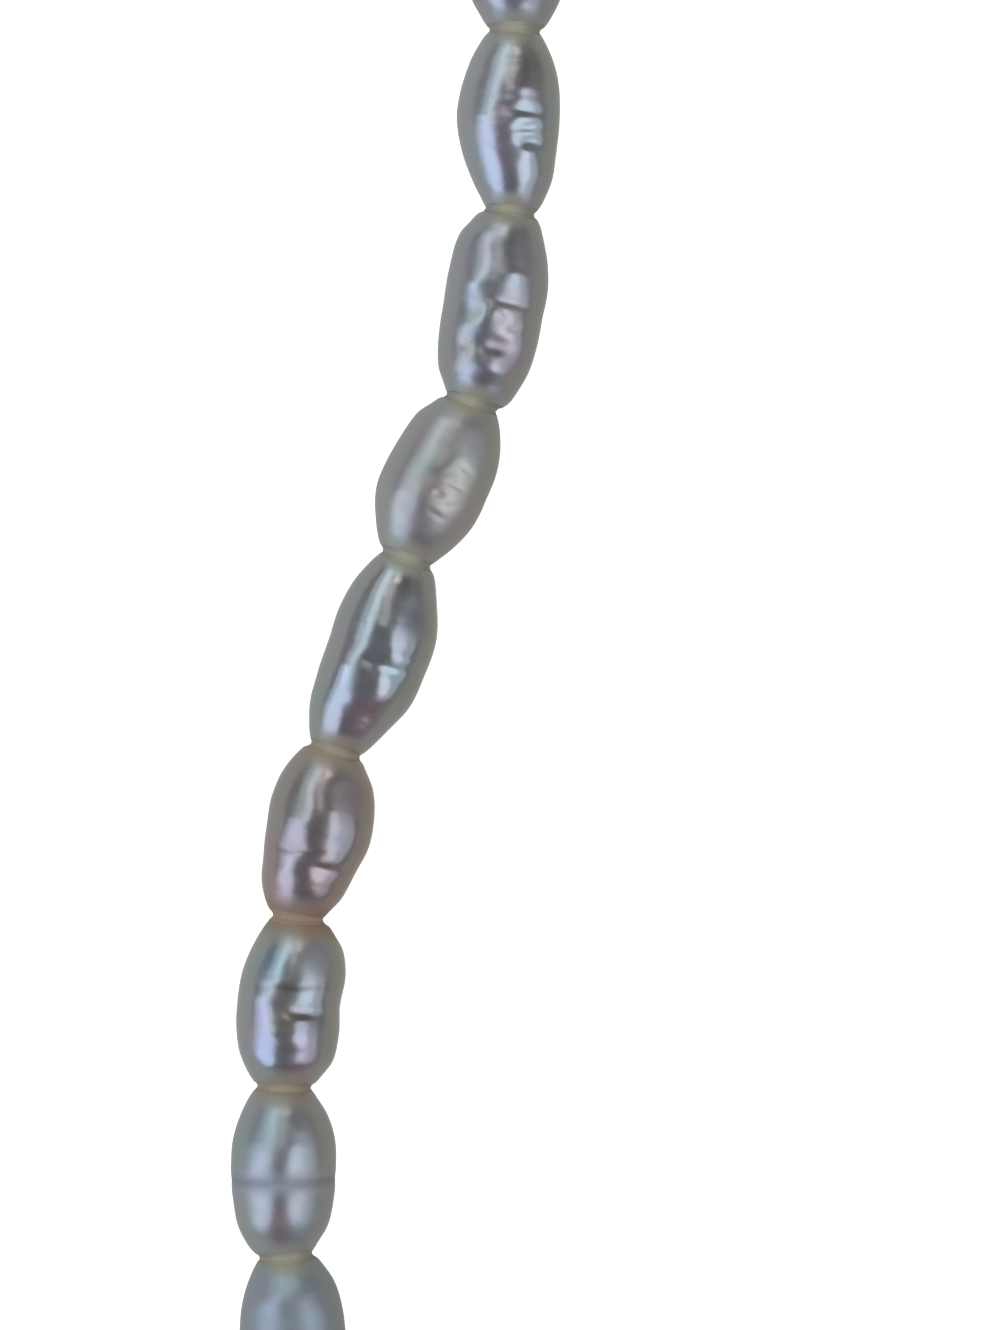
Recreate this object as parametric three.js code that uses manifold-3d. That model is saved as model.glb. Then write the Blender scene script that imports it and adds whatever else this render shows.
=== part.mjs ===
// A choker of ringed freshwater rice pearls on knotted silk, closed by a plain box clasp.
// It lies flat, as a loop: +Z is up, +Y along the loop's longer side, and the strand's stretch of hand-measured
// pearls runs down the loop's -X side. Sizes are in millimetres.
import * as THREE from "three";
import { mergeVertices } from "three/addons/utils/BufferGeometryUtils.js";
import Module from "manifold-3d";

// ---- driving dimensions ----

// The strand.
const PEARL_COUNT = 40;
const BORE_HEIGHT = 2.4; // the drilled holes' height over the surface that the strand lies on
const NECK_HALF = 0.35; // from the middle of a knot to the end of the pearl beside it

// A pearl.
const SIDES = 10;
const BORE_RADIUS = 0.5;
const BORE_DISH = 0.25; // the mouth of the drilled hole is dished by this much
const END_WIDTH = 2.8; // across a pearl's end, round the dished mouth of its hole
const STATIONS = [0.115, 0.31, 0.5, 0.69, 0.885]; // shares of a pearl's length at which it has a section

// The silk.
const THREAD_RADIUS = 0.22;
const THREAD_SIDES = 6;
const KNOT_RADIUS = 1.2;
const KNOT_HALF = 0.38; // half a knot's length, at its middle, which lies in the dishes, and at its rim
const KNOT_RIM_HALF = 0.16;
const KNOT_FACE_RADIUS = 0.7;
const KNOT_SIDES = 6;
const END_LOOP_RADIUS = 0.9;

// The clasp.
const CLASP_LENGTH = 9;
const CLASP_WIDTH = 5;
const CLASP_HEIGHT = 4;
const CLASP_CORNER = 1.2;
const CLASP_EDGE = 0.4;
const EYE_RADIUS = 1;
const EYE_WIRE = 0.3;
const EYE_OVERHANG = 0.9; // from the clasp's end to the middle of its eye
const EYE_TO_KNOT = 2.2; // from the middle of an eye to the middle of the knot beside it

// Where the stretch of measured pearls lies in the strand, counted from the clasp, and how the rest goes
// round.
const PEARLS_BEFORE_STRETCH = 15;
const STRETCH_PULL = 45; // how far the curves round the far side keep on straight past the stretch
const CLASP_PULL = 80; // and how far they run straight to the clasp
const CLASP_RISE = -38; // the clasp's place along Y, from the top of the stretch
const NEAREST_FAR_SIDE = 60; // the clasp's distance from the stretch, at least and at most
const FARTHEST_FAR_SIDE = 140;

// The measured stretch, a row for each pearl from the top down. pitch is the way from knot to knot, and lean
// the direction of that way, in degrees from -Y towards -X. widths are the pearl's widths at the stations, and
// outward how far the middle of each of those sections lies from the bore, towards the outside of the loop.
const STRETCH = [
  { pitch: 8.55, lean: 0.6, widths: [3.8, 4.7, 5.0, 4.9, 4.0], outward: [0.0, 0.0, 0.05, 0.0, -0.05] },
  { pitch: 8.66, lean: 2.2, widths: [3.8, 4.7, 4.9, 4.5, 3.6], outward: [0.05, 0.1, 0.15, 0.05, -0.15] },
  { pitch: 9.21, lean: 11.7, widths: [4.1, 4.8, 4.8, 4.7, 4.1], outward: [-0.05, -0.2, -0.25, -0.3, -0.3] },
  { pitch: 8.02, lean: 21.6, widths: [4.1, 4.9, 5.1, 5.0, 3.9], outward: [-0.05, -0.05, 0.05, 0.1, 0.1] },
  { pitch: 9.77, lean: 20.3, widths: [3.9, 4.9, 4.9, 4.7, 3.7], outward: [-0.1, -0.25, -0.3, -0.25, 0.0] },
  { pitch: 8.14, lean: 12.4, widths: [4.2, 5.0, 5.0, 4.5, 3.8], outward: [0.05, 0.0, -0.05, 0.05, 0.15] },
  { pitch: 8.03, lean: 4.5, widths: [4.1, 4.9, 4.9, 4.9, 4.3], outward: [-0.1, 0.0, 0.15, 0.1, 0.05] },
  { pitch: 8.05, lean: -0.7, widths: [4.0, 4.9, 5.0, 4.8, 4.1], outward: [0.1, 0.1, 0.15, 0.15, 0.2] },
  { pitch: 8.56, lean: -5.0, widths: [4.1, 4.9, 5.1, 5.0, 4.0], outward: [0.0, 0.05, 0.1, 0.05, 0.0] },
];

// The other pearls vary these rows by up to these shares.
const LENGTH_SPREAD = 0.04;
const WIDTH_SPREAD = 0.03;
const SEED = 7;

// ---- materials ----

const nacre = new THREE.MeshStandardMaterial({ color: 0x9aa0a6, roughness: 0.25, metalness: 0 });
const silk = new THREE.MeshStandardMaterial({ color: 0xa59f86, roughness: 0.8, metalness: 0 });
const silver = new THREE.MeshStandardMaterial({ color: 0xc8c8cc, roughness: 0.3, metalness: 1 });

// ---- joining solids ----

const wasm = await Module();
wasm.setup();

function toSolid(geometry) {
  const bare = geometry.clone();
  bare.deleteAttribute("normal");
  bare.deleteAttribute("uv");
  const merged = mergeVertices(bare, 1e-4);
  return new wasm.Manifold(
    new wasm.Mesh({
      numProp: 3,
      vertProperties: merged.attributes.position.array,
      triVerts: new Uint32Array(merged.index.array),
    }),
  );
}

function fused(geometries) {
  const solid = geometries.map(toSolid).reduce((whole, next) => whole.add(next));
  const mesh = solid.getMesh();
  const geometry = new THREE.BufferGeometry();
  geometry.setAttribute("position", new THREE.BufferAttribute(mesh.vertProperties, 3));
  geometry.setIndex(new THREE.BufferAttribute(mesh.triVerts, 1));
  geometry.computeVertexNormals();
  return geometry;
}

function named(name, geometry, material) {
  const mesh = new THREE.Mesh(geometry, material);
  mesh.name = name;
  return mesh;
}

// ---- placing ----

// Puts an object at a place in plan, with its +Y turned along a way.
function laid(object, place, way, height) {
  object.position.set(place.x, place.y, height);
  object.rotation.z = way.angle() - Math.PI / 2;
  return object;
}

function halfway(from, to) {
  return from.clone().lerp(to, 0.5);
}

function wayTo(from, to) {
  return to.clone().sub(from).normalize();
}

// ---- the pearls' rows, in their order along the strand ----

THREE.MathUtils.seededRandom(SEED);

function spread(share) {
  return 1 + share * (2 * THREE.MathUtils.seededRandom() - 1);
}

function variedRow(index) {
  const model = STRETCH[(index * 4) % STRETCH.length];
  const stretched = spread(LENGTH_SPREAD);
  const widened = spread(WIDTH_SPREAD);
  const side = index % 2 ? 1 : -1;
  const widths = model.widths.map((width) => width * widened);
  const outward = model.outward.map((shift) => shift * side);
  if (index % 3 === 0) {
    widths.reverse();
    outward.reverse();
  }
  return { pitch: model.pitch * stretched, widths, outward };
}

const rows = Array.from({ length: PEARL_COUNT }, (_, index) => {
  const row = STRETCH[index - PEARLS_BEFORE_STRETCH];
  return row ?? variedRow(index);
});

// ---- the route ----

// The stretch's knots, from its top one at the origin.
const stretchKnots = [new THREE.Vector2(0, 0)];
for (const { pitch, lean } of STRETCH) {
  const angle = THREE.MathUtils.degToRad(lean);
  const step = new THREE.Vector2(-Math.sin(angle), -Math.cos(angle)).multiplyScalar(pitch);
  stretchKnots.push(stretchKnots.at(-1).clone().add(step));
}

// The value between two limits up to which a test holds, found by halving.
function halved(low, high, isBelow) {
  const middle = (low + high) / 2;
  if (high - low < 1e-9) {
    return middle;
  }
  return isBelow(middle) ? halved(middle, high, isBelow) : halved(low, middle, isBelow);
}

// Knots along a curve, so that each lies its pitch from the one before, in a straight line.
function knotsAlong(curve, pitches) {
  const knots = [curve.getPoint(0)];
  let at = 0;
  for (const pitch of pitches) {
    at = halved(at, 1, (share) => curve.getPoint(share).distanceTo(knots.at(-1)) < pitch);
    knots.push(curve.getPoint(at));
  }
  return knots;
}

// The curve round the loop's end, from the stretch's last knot and in the last pearl's way, to the clasp.
function roundCurve(last, lastButOne, clasp, claspWay) {
  return new THREE.CubicBezierCurve(
    last,
    last.clone().addScaledVector(wayTo(lastButOne, last), STRETCH_PULL),
    clasp.clone().addScaledVector(claspWay, -CLASP_PULL),
    clasp,
  );
}

const topPitches = rows.slice(0, PEARLS_BEFORE_STRETCH).map((row) => row.pitch);
const bottomPitches = rows.slice(PEARLS_BEFORE_STRETCH + STRETCH.length).map((row) => row.pitch);

// The two ways round to a clasp that lies at farSide, as lists of knots that start at the stretch.
function waysRound(farSide) {
  const clasp = new THREE.Vector2(farSide, CLASP_RISE);
  const top = roundCurve(stretchKnots[0], stretchKnots[1], clasp, new THREE.Vector2(0, -1));
  const bottom = roundCurve(stretchKnots.at(-1), stretchKnots.at(-2), clasp, new THREE.Vector2(0, 1));
  return [knotsAlong(top, topPitches.toReversed()), knotsAlong(bottom, bottomPitches)];
}

// The loop closes where the two ends leave just the clasp's length between them.
const endToEnd = CLASP_LENGTH + 2 * EYE_OVERHANG + 2 * EYE_TO_KNOT;
const farSide = halved(NEAREST_FAR_SIDE, FARTHEST_FAR_SIDE, (distance) => {
  const [top, bottom] = waysRound(distance);
  return top.at(-1).distanceTo(bottom.at(-1)) < endToEnd;
});
const [topWay, bottomWay] = waysRound(farSide);
const knots = [...topWay.toReversed(), ...stretchKnots.slice(1, -1), ...bottomWay];

// ---- the pearls ----

// A turned form with the pearl's rings, whose sections are then flattened and shifted one by one. The ring of
// ten sides is flat on top and underneath, so its height is measured to those flats.
const FLAT = Math.cos(Math.PI / SIDES);

function pearlGeometry({ pitch, widths, outward }) {
  const length = pitch - 2 * NECK_HALF;
  const rings = [
    { at: BORE_DISH, width: 2 * BORE_RADIUS, shift: 0 },
    { at: 0, width: END_WIDTH, shift: outward[0] },
    ...STATIONS.map((share, i) => ({ at: share * length, width: widths[i], shift: outward[i] })),
    { at: length, width: END_WIDTH, shift: outward.at(-1) },
    { at: length - BORE_DISH, width: 2 * BORE_RADIUS, shift: 0 },
  ];
  const loop = [...rings, rings[0]];
  const profile = loop.map(({ at, width }) => new THREE.Vector2(width / 2, at - length / 2));
  const geometry = new THREE.LatheGeometry(profile, SIDES, Math.PI / 2);
  const depth = (2 * BORE_HEIGHT) / Math.max(...widths) / FLAT;
  const position = geometry.attributes.position;
  for (let i = 0; i < position.count; i += 1) {
    const { width, shift } = loop[i % loop.length];
    if (width > 2 * BORE_RADIUS) {
      position.setX(i, position.getX(i) + shift);
      position.setZ(i, position.getZ(i) * depth);
    }
  }
  geometry.computeVertexNormals();
  return geometry;
}

const strand = new THREE.Group();
rows.forEach((row, i) => {
  const name = "pearl_" + String(i + 1).padStart(2, "0");
  const pearl = named(name, pearlGeometry(row), nacre);
  strand.add(laid(pearl, halfway(knots[i], knots[i + 1]), wayTo(knots[i], knots[i + 1]), BORE_HEIGHT));
});

// ---- the silk ----

function laidGeometry(geometry, place, way) {
  const holder = laid(new THREE.Object3D(), place, way, BORE_HEIGHT);
  holder.updateMatrix();
  return geometry.applyMatrix4(holder.matrix);
}

function knotGeometry() {
  const profile = [
    new THREE.Vector2(0, -KNOT_HALF),
    new THREE.Vector2(KNOT_FACE_RADIUS, -KNOT_HALF),
    new THREE.Vector2(KNOT_RADIUS, -KNOT_RIM_HALF),
    new THREE.Vector2(KNOT_RADIUS, KNOT_RIM_HALF),
    new THREE.Vector2(KNOT_FACE_RADIUS, KNOT_HALF),
    new THREE.Vector2(0, KNOT_HALF),
  ];
  return new THREE.LatheGeometry(profile, KNOT_SIDES, Math.PI / 2);
}

function threadGeometry(length) {
  return new THREE.CylinderGeometry(THREAD_RADIUS, THREAD_RADIUS, length, THREAD_SIDES);
}

const claspFoot = knots.at(-1);
const claspHead = knots[0];
const claspWay = wayTo(claspFoot, claspHead);

const threads = rows.map((row, i) =>
  laidGeometry(threadGeometry(row.pitch), halfway(knots[i], knots[i + 1]), wayTo(knots[i], knots[i + 1])),
);

// A knot lies halfway between the ways of the pearls on its two sides.
const silkKnots = knots.map((knot, i) => {
  const wayIn = wayTo(knots[i - 1] ?? claspFoot, knot);
  const wayOut = wayTo(knot, knots[i + 1] ?? claspHead);
  return laidGeometry(knotGeometry(), knot, wayIn.add(wayOut));
});

// An upright loop of silk from the last knot on each side through the clasp's eye.
const endLoops = [claspFoot, claspHead].map((knot, i) => {
  const towards = i ? claspWay.clone().negate() : claspWay;
  const loop = new THREE.TorusGeometry(END_LOOP_RADIUS, THREAD_RADIUS, THREAD_SIDES, 12);
  loop.rotateY(Math.PI / 2);
  return laidGeometry(loop, knot.clone().addScaledVector(towards, EYE_TO_KNOT - END_LOOP_RADIUS), towards);
});
strand.add(named("silk_thread", fused([...threads, ...silkKnots, ...endLoops]), silk));

// ---- the clasp ----

function roundedRectangle(width, length, corner) {
  const shape = new THREE.Shape();
  const x = width / 2 - corner;
  const y = length / 2 - corner;
  shape.absarc(x, y, corner, 0, Math.PI / 2);
  shape.absarc(-x, y, corner, Math.PI / 2, Math.PI);
  shape.absarc(-x, -y, corner, Math.PI, 1.5 * Math.PI);
  shape.absarc(x, -y, corner, 1.5 * Math.PI, 2 * Math.PI);
  return shape;
}

const box = new THREE.ExtrudeGeometry(
  roundedRectangle(CLASP_WIDTH - 2 * CLASP_EDGE, CLASP_LENGTH - 2 * CLASP_EDGE, CLASP_CORNER - CLASP_EDGE),
  {
    depth: CLASP_HEIGHT - 2 * CLASP_EDGE,
    bevelThickness: CLASP_EDGE,
    bevelSize: CLASP_EDGE,
    bevelSegments: 1,
    curveSegments: 3,
  },
);
box.translate(0, 0, CLASP_EDGE);
const eyes = [-1, 1].map((end) => {
  const eye = new THREE.TorusGeometry(EYE_RADIUS, EYE_WIRE, 6, 12);
  return eye.translate(0, end * (CLASP_LENGTH / 2 + EYE_OVERHANG), BORE_HEIGHT);
});
const clasp = named("clasp", fused([box, ...eyes]), silver);
strand.add(laid(clasp, halfway(claspFoot, claspHead), claspWay, 0));

// ---- the whole choker, centred over its own footprint ----

const bounds = new THREE.Box3().setFromObject(strand, true);
const middle = bounds.getCenter(new THREE.Vector3());
strand.position.set(-middle.x, -middle.y, -bounds.min.z);
const choker = new THREE.Group();
choker.name = "pearl_choker";
choker.add(strand);

export default choker;
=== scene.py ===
# %% [markdown]
# # A choker of freshwater rice pearls
# The choker lies flat on a table: forty long, ringed freshwater pearls on silk that is knotted between
# every two of them, closed by a plain silver box clasp. The frame holds a plain solid for each piece. Here
# each of them gets the form and the finish that the eye knows it by. The frame's numbers are metres, and
# sizes here are in millimetres, which MM turns into metres.

import math

import bmesh
import bpy
import numpy as np
from mathutils import Matrix, Vector


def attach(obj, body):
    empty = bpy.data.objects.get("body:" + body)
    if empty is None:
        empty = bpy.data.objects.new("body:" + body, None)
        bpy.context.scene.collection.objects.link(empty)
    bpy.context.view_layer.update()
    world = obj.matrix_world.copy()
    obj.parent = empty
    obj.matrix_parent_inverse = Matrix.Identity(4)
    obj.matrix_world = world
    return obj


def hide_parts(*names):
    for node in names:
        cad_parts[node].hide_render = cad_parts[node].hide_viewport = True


MM = 0.001
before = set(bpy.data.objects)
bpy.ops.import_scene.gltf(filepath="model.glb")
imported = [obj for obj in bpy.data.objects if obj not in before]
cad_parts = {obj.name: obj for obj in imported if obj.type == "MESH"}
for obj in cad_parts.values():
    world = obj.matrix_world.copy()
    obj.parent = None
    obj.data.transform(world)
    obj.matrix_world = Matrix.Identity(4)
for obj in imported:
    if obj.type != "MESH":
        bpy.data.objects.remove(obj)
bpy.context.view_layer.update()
PEARLS = sorted(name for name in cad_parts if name.startswith("pearl_"))
print("pearls in the frame:", len(PEARLS))

# %% [markdown]
# ## Where each pearl sits
# A pearl is new only in its skin: its place, its length and its widths are the frame's. Each solid has a
# drilled hole at one height over the table, and its corners at that height are the pearl's outline seen
# from above. Read in pairs, from one end to the other, they give the blunt end, the mouth of the hole, five
# sections, and the same at the far end. A copy of the solid is merged first, because the frame's own
# triangles are loose.

# %% Reading the solids
BORE_HEIGHT = 2.4 * MM
SAME_POINT = 0.001 * MM  # corners nearer than this are one corner
ON_LEVEL = 0.01 * MM  # how near a corner is to a height that it lies on
ON_SECTION = 0.02 * MM  # how near a corner is to a section that it lies on


def corners(node):
    """A solid's corners, once each."""
    copy = bmesh.new()
    copy.from_mesh(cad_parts[node].data)
    bmesh.ops.remove_doubles(copy, verts=copy.verts, dist=SAME_POINT)
    points = np.array([corner.co for corner in copy.verts])
    copy.free()
    return points


def middle_of(node):
    """The middle of a solid's corners."""
    return corners(node).mean(axis=0)


def unit(vector):
    """A vector's way, one long."""
    return vector / np.linalg.norm(vector)


def seat_of(node, before, after):
    """A pearl's middle, its way along the strand, its side way, and the measures of its sections."""
    points = corners(node)
    outline = points[np.abs(points[:, 2] - BORE_HEIGHT) < ON_LEVEL]
    rough_way = unit(np.linalg.svd(outline - outline.mean(axis=0))[2][0])
    rough_way *= np.sign(rough_way @ (after - before))
    pairs = outline[np.argsort(outline @ rough_way)].reshape(-1, 2, 3)
    first_mouth, last_mouth = pairs[1].mean(axis=0), pairs[-2].mean(axis=0)
    middle = (first_mouth + last_mouth) / 2
    way = unit(last_mouth - first_mouth)
    side = np.array([way[1], -way[0], 0.0])
    along = (pairs.mean(axis=1) - middle) @ way
    sides = (pairs - middle) @ side
    sections = [points[np.abs((points - middle) @ way - at) < ON_SECTION] for at in along]
    return {
        "middle": middle,
        "way": way,
        "side": side,
        "along": along,
        "half_width": np.ptp(sides, axis=1) / 2,
        "shift": sides.mean(axis=1),
        "half_height": np.array([section[:, 2].max() - BORE_HEIGHT for section in sections]),
    }


middles = [middle_of(pearl) for pearl in PEARLS]
seats = {}
for i, pearl in enumerate(PEARLS):
    seats[pearl] = seat_of(pearl, middles[max(i - 1, 0)], middles[min(i + 1, len(PEARLS) - 1)])
print("pearls measured:", len(seats))

# %% [markdown]
# ## How the ends lean
# Where the strand bends, two blunt ends open a wedge between them. On a real strand the ends are grown
# uneven, and the soft knot fills what is left. Here each end leans to half of the bend, which keeps the
# neck even all round. Turning the whole pearl would move it off its solid, so only its last millimetre
# leans.

# %% Leaning the ends
for i, pearl in enumerate(PEARLS):
    seat = seats[pearl]
    seat["slants"] = []
    for j in (i - 1, i + 1):
        other = seats[PEARLS[j]] if 0 <= j < len(PEARLS) else seat
        between = seat["way"] + other["way"]
        seat["slants"].append(-(between @ seat["side"]) / (between @ seat["way"]))
lengths = [np.ptp(seat["along"]) / MM for seat in seats.values()]
slants = [math.degrees(math.atan(abs(slant))) for seat in seats.values() for slant in seat["slants"]]
print("most that an end slants, in degrees:", round(max(slants), 1))
print("pearl lengths in mm, shortest and longest:", round(min(lengths), 2), round(max(lengths), 2))

# %% [markdown]
# ## The blank
# Every pearl starts as the same turned blank. A profile line, which is the skin from one mouth of the hole
# to the other and the wall of the hole on the way back, is spun round the strand's line. The spin joins its
# last copy to its first, so the blank is closed. On the blank, the distance along it tells how far along
# the skin a point is, and the distance from its axis tells skin from hole, which is all that the shaping
# needs to know.

# %% Spinning the blanks
SKIN_RADIUS = 1.0
HOLE_RADIUS = 0.5
HOLE_STEPS = 4
HOLE_INSET = 0.02  # where the hole's wall starts, as a share of the blank
SEAM = 1e-7  # points nearer than this are joined after a spin


def spin_whole(work, line, steps):
    """Spins a closed line once round the Y axis, joins its ends, and turns the faces out."""
    whole = 2 * math.pi
    bmesh.ops.spin(work, geom=line, cent=(0, 0, 0), axis=(0, 1, 0), angle=whole, steps=steps, use_merge=True)
    bmesh.ops.remove_doubles(work, verts=work.verts, dist=SEAM)
    bmesh.ops.recalc_face_normals(work, faces=work.faces)


def spun_blank(name, steps_along, steps_round):
    """A turned blank, one long on +Y, with a hole from end to end."""
    blank = bmesh.new()
    wall = np.linspace(1 - HOLE_INSET, HOLE_INSET, HOLE_STEPS)
    skin = [blank.verts.new((SKIN_RADIUS, share, 0)) for share in np.linspace(0, 1, steps_along)]
    hole = [blank.verts.new((HOLE_RADIUS, share, 0)) for share in wall]
    profile = skin + hole
    edges = [blank.edges.new(pair) for pair in zip(profile, profile[1:] + profile[:1])]
    spin_whole(blank, profile + edges, steps_round)
    for face in blank.faces:
        face.smooth = True
    mesh = bpy.data.meshes.new(name)
    blank.to_mesh(mesh)
    blank.free()
    print(name, "has", len(mesh.polygons), "faces")
    return mesh


FINE_BLANK = spun_blank("fine_blank", steps_along=190, steps_round=96)
FAR_BLANK = spun_blank("far_blank", steps_along=120, steps_round=64)

# %% [markdown]
# ## The skin's line
# A rice pearl is a long barrel with blunt ends. The frame's sections fix the barrel, and between them the
# skin runs in one smooth curve, which is what a curve through points with matched slopes gives. Towards the
# drilled hole the frame has one flat step, where the real end is a small rounded shoulder, so the shoulder
# has rows of its own here.

# %% Curves through sections
# From the mouth of the hole outwards: how far in from the end, in millimetres and as a share of the way to
# the first section of the barrel, and how wide, in millimetres inside the dish and as a share of that
# section outside it.
SHOULDER = [
    {"inset": 0.25, "inset_share": 0.0, "half_width": 0.50, "width_share": 0.000, "shift_share": 0.0},
    {"inset": 0.02, "inset_share": 0.0, "half_width": 0.85, "width_share": 0.000, "shift_share": 0.2},
    {"inset": -0.24, "inset_share": 0.0, "half_width": 0.00, "width_share": 0.590, "shift_share": 0.6},
    {"inset": -0.22, "inset_share": 0.0, "half_width": 0.00, "width_share": 0.670, "shift_share": 0.8},
    {"inset": -0.05, "inset_share": 0.0, "half_width": 0.00, "width_share": 0.730, "shift_share": 0.9},
    {"inset": 0.14, "inset_share": 0.0, "half_width": 0.00, "width_share": 0.792, "shift_share": 1.0},
    {"inset": 0.00, "inset_share": 0.57, "half_width": 0.00, "width_share": 0.900, "shift_share": 1.0},
]
RIM_ROW = 3


def smooth_through(known_at, known, at):
    """The values at some places of a smooth curve through known values at known places."""
    slopes = np.gradient(known, known_at)
    found = np.clip(np.searchsorted(known_at, at, side="right") - 1, 0, len(known_at) - 2)
    span = known_at[found + 1] - known_at[found]
    t = (at - known_at[found]) / span
    rise = known[found + 1] - known[found]
    start, end = slopes[found] * span, slopes[found + 1] * span
    return known[found] + t * start + t**2 * (3 * rise - 2 * start - end) + t**3 * (start + end - 2 * rise)


def skin_line(seat):
    """The skin from mouth to mouth, as rows of along, half width, half height and shift."""
    ends = seat["along"][0], seat["along"][-1]
    stations = slice(2, -2)
    roundness = seat["half_height"][stations] / seat["half_width"][stations]
    rows = []
    for end, inwards, station in [(ends[0], 1, 0), (ends[1], -1, -1)]:
        shift = seat["shift"][stations][station]
        widest = seat["half_width"][stations][station]
        to_station = abs(seat["along"][stations][station] - end)
        shoulder = []
        for row in SHOULDER:
            half_width = row["half_width"] * MM + row["width_share"] * widest
            half_height = half_width * roundness[station]
            along = end + inwards * (row["inset"] * MM + row["inset_share"] * to_station)
            shoulder.append((along, half_width, half_height, shift * row["shift_share"]))
        rows.append(shoulder)
    barrel = np.column_stack([seat[key][stations] for key in ("along", "half_width", "half_height", "shift")])
    return np.vstack([rows[0], barrel, rows[1][::-1]])


FINE_STEPS = 400
RUB = 0.16  # how far along the skin a corner is rubbed round


def rubbed_round(values, spread):
    """Evenly spaced values, each replaced by a weighted mean of its neighbours, which rubs corners round."""
    reach = int(3 * spread)
    weights = np.exp(-((np.arange(-reach, reach + 1) / spread) ** 2) / 2)
    return np.convolve(np.pad(values, reach, mode="edge"), weights / weights.sum(), mode="valid")


def skin_at(line, shares):
    """The skin line's rows at shares of the way along it."""
    steps = np.linalg.norm(np.diff(line[:, :2], axis=0), axis=1)
    way = np.concatenate([[0], np.cumsum(steps)])
    fine = np.linspace(0, 1, FINE_STEPS)
    spread = RUB * MM / way[-1] * FINE_STEPS
    columns = [rubbed_round(smooth_through(way / way[-1], column, fine), spread) for column in line.T]
    return np.column_stack([np.interp(shares, fine, column) for column in columns])


print("skin rows of the first pearl:", len(skin_line(seats[PEARLS[0]])))

# %% [markdown]
# ## The relief
# No two freshwater pearls have the same skin. They carry ring grooves, cross ridges, creases, flats and
# dimples, and the strong lustre turns each of these into a bright or dark patch, so the relief is what makes
# a pearl look real. Bump shading alone would not move the outline. So each feature is a soft hill or hollow
# that moves the skin itself: an oval patch with a place, a length, a width, a turn and a rise, the way a
# carver would thumb it into wax. A patch can also paint. It darkens the skin as painted shade in its grooves,
# creases and hollows, and as painted dark reflection elsewhere. With a value below 0 it lightens the skin as
# painted light. The dull field rubs its lustre off, and the tints colour it, partly as the plates' thickness
# does in the real skin and partly as painted reflection colour.

# %% Marks on the skin
# around is in degrees from straight up, and positive towards the outside of the loop. The turn is from the
# strand's way towards that outside.
def marked(marks, field, along, around, radius, length):
    """The sum of one field of the marks at each point of the skin, each fading out from its middle."""
    total = np.zeros_like(along)
    for mark in marks:
        off_along = (along / length + 0.5 - mark["along"]) * length
        off_around = (around - math.radians(mark["around"]) + math.pi) % (2 * math.pi) - math.pi
        off_side = off_around * radius
        turn = math.radians(mark.get("turn", 0))
        long_way = off_along * math.cos(turn) + off_side * math.sin(turn)
        wide_way = off_side * math.cos(turn) - off_along * math.sin(turn)
        spread = (long_way / (mark["long"] * MM)) ** 2 + (wide_way / (mark["wide"] * MM)) ** 2
        total += mark.get(field, 0) * np.exp(-spread)
    return total


# What each painted tint adds to the skin's red, green and blue, as shares. Each is a nacre overtone and, on
# the charted pearls, also painted colour of the windows and dark bands that the skin mirrors.
OVERTONE_AND_REFLECTION_TINTS = {
    "cream": (0.10, 0.03, -0.14),
    "mauve": (0.16, -0.06, -0.02),
    "cyan": (-0.16, 0.04, 0.08),
    "lilac": (0.03, -0.09, 0.10),
    "blue": (-0.10, 0.00, 0.10),
    "straw": (0.00, 0.00, -0.16),
}
PAINTED = ("painted_shade", "dull", *OVERTONE_AND_REFLECTION_TINTS)
print("what a mark can paint:", ", ".join(PAINTED))

# %% [markdown]
# ## The swell
# Under its marks, a grown skin is never even: it swells and sinks in long waves, with finer ripples across
# them. A noise texture could give these too, but a sum of a few sine waves by a fixed draw is easy to read,
# and comes out the same each time.

# %% The grown swell
SWELLS = 9
SWELL_WAVES = (1.0, 3.2)  # the shortest and the longest
SWELL_TURNS = (-3, 4)  # how often a wave runs round the pearl, from the first number to one below the second
STEEPNESS = 0.011  # a swell's rise for each millimetre of its length
RIPPLES = 5
RIPPLE_WAVES = (0.3, 0.8)
RIPPLE_LEAN = (-0.4, 0.4)
RIPPLE_STEEPNESS = 0.0022


def grown_swell(along, around, seed, strength):
    """The uneven swell that every grown pearl has, as a sum of slanting waves by a fixed draw."""
    draw = np.random.RandomState(seed)
    rise = np.zeros_like(along)
    for _ in range(SWELLS):
        wave, times_round = draw.uniform(*SWELL_WAVES), draw.randint(*SWELL_TURNS)
        phase = draw.uniform(0, 2 * math.pi)
        angle = 2 * math.pi * along / (wave * MM) + times_round * around + phase
        rise += STEEPNESS * wave * MM * strength * np.sin(angle)
    for _ in range(RIPPLES):
        wave, lean = draw.uniform(*RIPPLE_WAVES), draw.uniform(*RIPPLE_LEAN)
        angle = 2 * math.pi * along / (wave * MM) + lean * np.cos(around) + draw.uniform(0, 2 * math.pi)
        rise += RIPPLE_STEEPNESS * wave * MM * np.sin(angle) * (1 + np.sin(2 * around + angle[0])) / 2
    return rise


# %% Shaping a pearl
BORE_RADIUS = 0.5
BORE_INSET = 0.3  # how far in from a pearl's ends the wall of its hole starts
SWELL_INSET = 0.9  # how far in from a pearl's ends the swell has its full strength
SIDE_SWELL = 0.3  # how much of the swell is left where a pearl faces its sides
SLANT_REACH = 1.1  # how far in from its end a pearl leans towards the next one


def eased(share):
    """A share from 0 to 1 that starts and ends softly."""
    return share**2 * (3 - 2 * share)


def points_of(mesh):
    """A mesh's points, as rows of x, y and z."""
    flat = np.empty(len(mesh.vertices) * 3)
    mesh.vertices.foreach_get("co", flat)
    return flat.reshape(-1, 3)


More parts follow.
